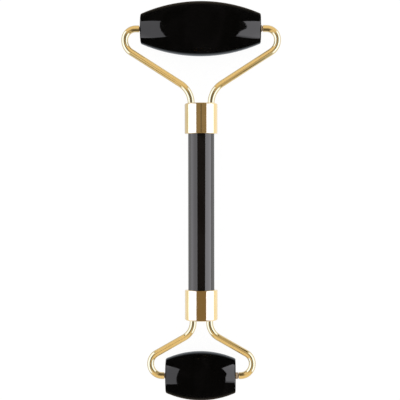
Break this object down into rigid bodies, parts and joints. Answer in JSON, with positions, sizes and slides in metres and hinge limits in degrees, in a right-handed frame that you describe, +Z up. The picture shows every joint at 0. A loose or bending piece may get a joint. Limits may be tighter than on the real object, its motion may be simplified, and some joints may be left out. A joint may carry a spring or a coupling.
{
  "type": "face roller",
  "caption": "Double-ended face massage roller: a stone handle whose metal ferrules hold wire forks, each with a free-turning barrel-shaped stone roller.",
  "frame": {"origin": "bottom of the box, in the middle of its length and width, with the tool lying on its side on the large roller", "axes": "+Y along the handle towards the large roller, +X along the rollers' axles, +Z up"},
  "size_m": [0.058, 0.145, 0.0199],
  "materials": {
    "black_stone": "polished to a mirror gloss",
    "polished_gold": "polished pale gold plate",
    "axle_steel": "drawn wire",
    "bush_nylon": "moulded, natural nylon",
    "set_glue": "clear amber epoxy"
  },
  "bodies": {
    "handle_frame": {"handle_stone": "black_stone", "large_ferrule": "polished_gold", "small_ferrule": "polished_gold", "large_fork": "polished_gold", "small_fork": "polished_gold", "large_axle": "axle_steel", "small_axle": "axle_steel", "large_glue_plug": "set_glue", "small_glue_plug": "set_glue"},
    "large_roller": {"large_roller_stone": "black_stone", "large_bush_left": "bush_nylon", "large_bush_right": "bush_nylon"},
    "small_roller": {"small_roller_stone": "black_stone", "small_bush_left": "bush_nylon", "small_bush_right": "bush_nylon"}
  },
  "joints": [
    {"name": "large_roller_spin", "type": "hinge", "parent": "handle_frame", "child": "large_roller", "pos_m": [0, 0.06255, 0.00995], "axis": [1, 0, 0], "continuous": true},
    {"name": "small_roller_spin", "type": "hinge", "parent": "handle_frame", "child": "small_roller", "pos_m": [0, -0.0636, 0.00995], "axis": [1, 0, 0], "continuous": true}
  ]
}
